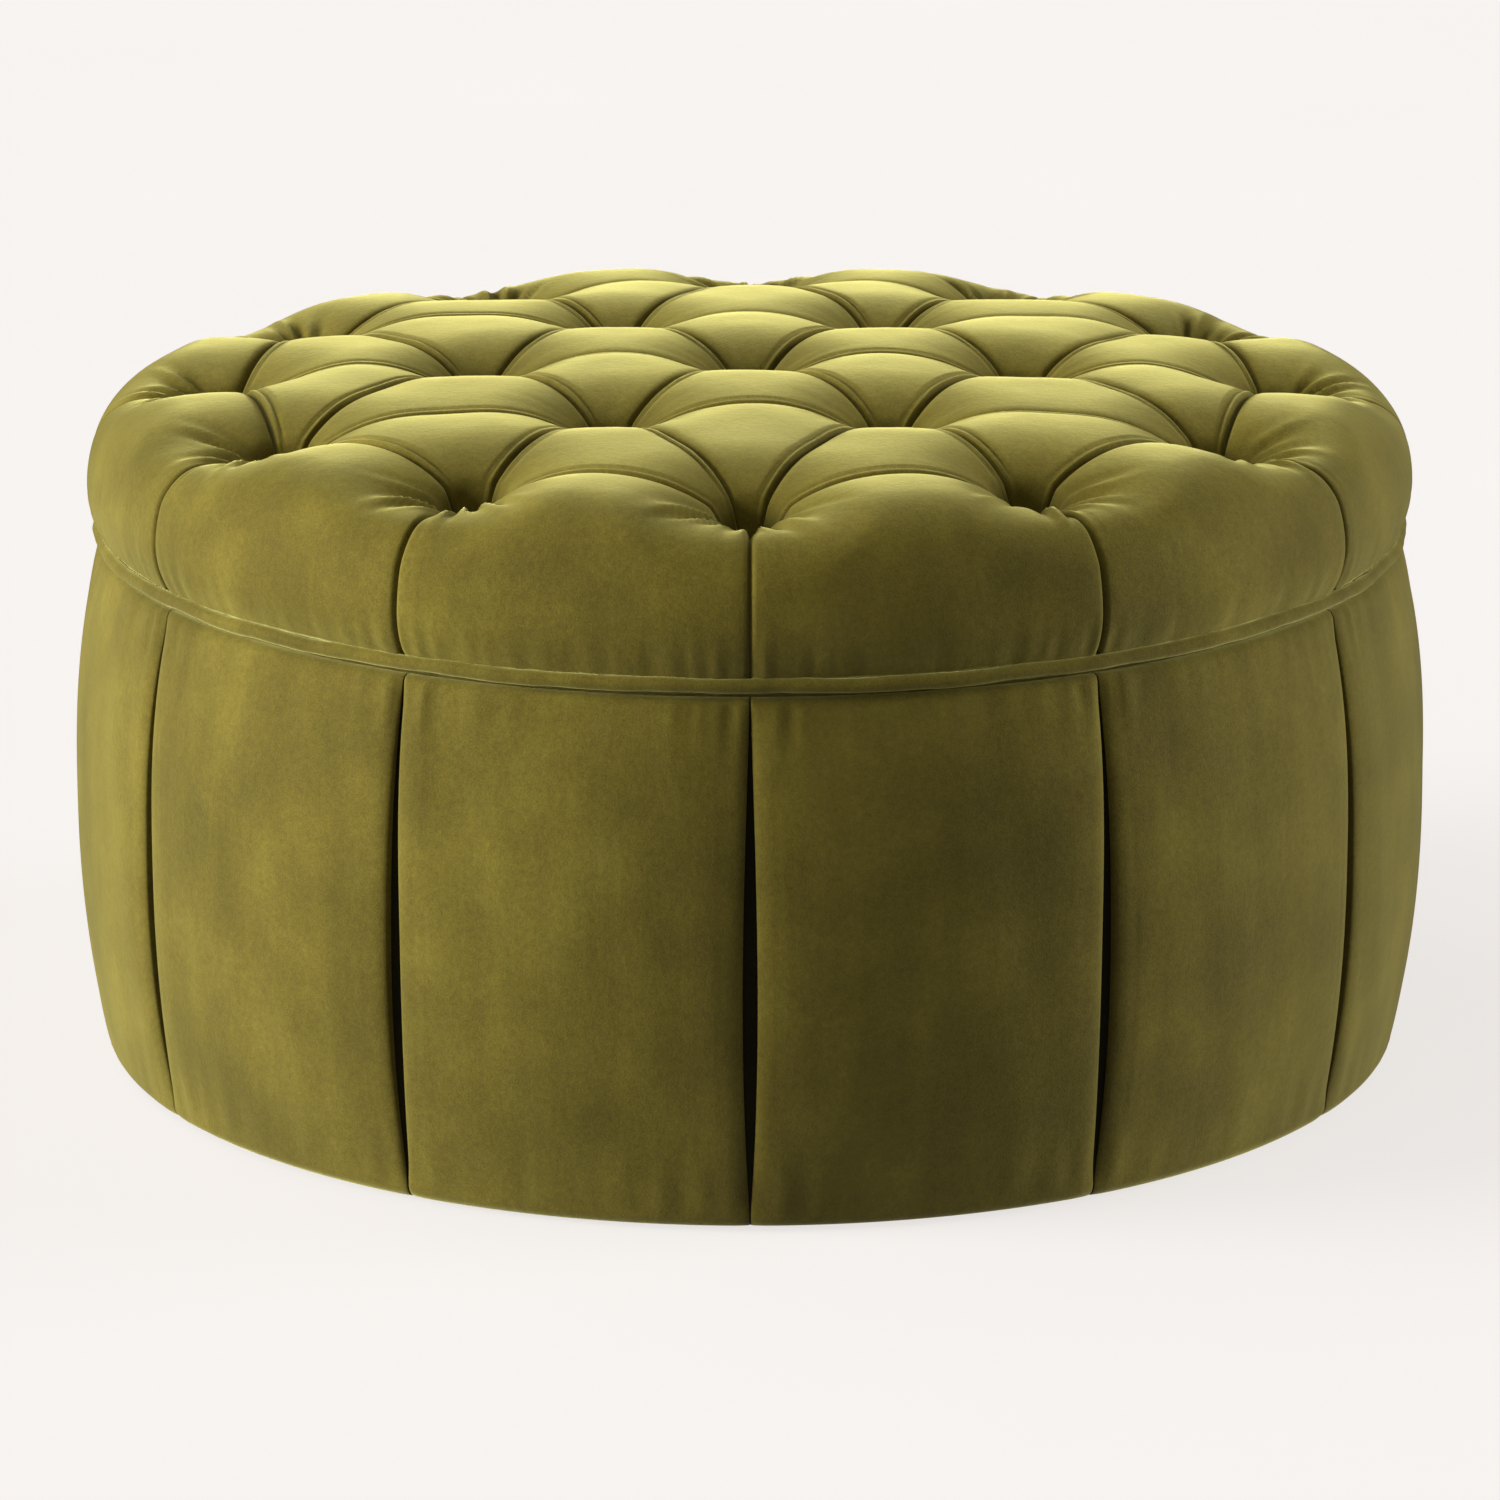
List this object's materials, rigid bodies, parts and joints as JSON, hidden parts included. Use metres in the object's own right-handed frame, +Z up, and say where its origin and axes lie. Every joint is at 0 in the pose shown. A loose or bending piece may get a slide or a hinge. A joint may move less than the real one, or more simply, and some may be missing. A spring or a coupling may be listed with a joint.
{
  "type": "storage ottoman",
  "caption": "Round upholstered storage ottoman with a pleated barrel base and a button-tufted lid that lifts on rear hinges and gas struts.",
  "frame": {"origin": "on the floor under the centre of the round base", "axes": "+Z up; the front faces -Y and the lid's hinges are at the rear, +Y; +X is right as seen from the front"},
  "size_m": [0.9142, 0.9142, 0.4749],
  "materials": {
    "velvet": "matte",
    "softwood": "matte",
    "plywood": "matte",
    "hardboard": "matte",
    "lining_card": "matte",
    "lining_cloth": "matte",
    "dust_cloth": "matte",
    "foam": "matte",
    "twine": "matte",
    "zinc_steel": "satin",
    "rubber": "matte",
    "tube_black": "satin",
    "rod_chrome": "polished",
    "black_plastic": "matte"
  },
  "bodies": {
    "base": {"base_board": "plywood", "drum_wall": "hardboard", "dust_cover": "dust_cloth", "floor_lining": "lining_cloth", "foam_wrap": "foam", "frame_post_01": "softwood", "frame_post_02": "softwood", "frame_post_03": "softwood", "frame_post_04": "softwood", "frame_post_05": "softwood", "frame_post_06": "softwood", "frame_post_07": "softwood", "frame_post_08": "softwood", "frame_post_09": "softwood", "frame_post_10": "softwood", "frame_post_11": "softwood", "frame_post_12": "softwood", "frame_screws": "zinc_steel", "glide_1": "black_plastic", "glide_2": "black_plastic", "glide_3": "black_plastic", "glide_4": "black_plastic", "glide_5": "black_plastic", "glide_6": "black_plastic", "hinge_base_leaf_left": "zinc_steel", "hinge_base_leaf_right": "zinc_steel", "hinge_base_screws": "zinc_steel", "hinge_pin_left": "zinc_steel", "hinge_pin_right": "zinc_steel", "lid_bumpers": "rubber", "pleated_skirt": "velvet", "rim_facing": "velvet", "strut_lower_bracket_left": "zinc_steel", "strut_lower_bracket_right": "zinc_steel", "strut_lower_screws": "zinc_steel", "top_ring": "plywood", "wall_lining": "lining_card"},
    "lid": {"tufted_cushion": "velvet", "tuft_buttons": "velvet", "lid_board": "plywood", "lid_foam": "foam", "lid_lining": "lining_cloth", "welt": "velvet", "button_twines": "twine", "twine_anchors": "zinc_steel", "hinge_lid_leaf_left": "zinc_steel", "hinge_lid_leaf_right": "zinc_steel", "hinge_lid_screws": "zinc_steel", "strut_upper_bracket_left": "zinc_steel", "strut_upper_bracket_right": "zinc_steel", "strut_upper_screws": "zinc_steel"},
    "tube_left": {"strut_tube_left": "tube_black", "strut_lower_socket_left": "black_plastic"},
    "rod_left": {"strut_rod_left": "rod_chrome", "strut_upper_socket_left": "black_plastic"},
    "tube_right": {"strut_tube_right": "tube_black", "strut_lower_socket_right": "black_plastic"},
    "rod_right": {"strut_rod_right": "rod_chrome", "strut_upper_socket_right": "black_plastic"}
  },
  "joints": [
    {"name": "lid_hinge", "type": "hinge", "parent": "base", "child": "lid", "pos_m": [0, 0.4465, 0.3515], "axis": [-1, 0, 0], "range_deg": [0, 75], "stiffness_Nm_per_rad": 38, "springref_deg": 111.73},
    {"name": "strut_lower_pivot_left", "type": "hinge", "parent": "base", "child": "tube_left", "pos_m": [-0.1, 0.339, 0.12469], "axis": [-1, 0, 0], "range_deg": [0, 37.5]},
    {"name": "strut_upper_pivot_left", "type": "hinge", "parent": "lid", "child": "rod_left", "pos_m": [-0.1, 0.19576, 0.34], "axis": [-1, 0, 0], "range_deg": [-37.5, 0]},
    {"name": "strut_lower_pivot_right", "type": "hinge", "parent": "base", "child": "tube_right", "pos_m": [0.1, 0.339, 0.12469], "axis": [-1, 0, 0], "range_deg": [0, 37.5]},
    {"name": "strut_upper_pivot_right", "type": "hinge", "parent": "lid", "child": "rod_right", "pos_m": [0.1, 0.19576, 0.34], "axis": [-1, 0, 0], "range_deg": [-37.5, 0]}
  ],
  "couplings": [
    {"joint": "strut_lower_pivot_left", "follows": "lid_hinge", "ratio": 0.5},
    {"joint": "strut_upper_pivot_left", "follows": "lid_hinge", "ratio": -0.5},
    {"joint": "strut_lower_pivot_right", "follows": "lid_hinge", "ratio": 0.5},
    {"joint": "strut_upper_pivot_right", "follows": "lid_hinge", "ratio": -0.5}
  ]
}
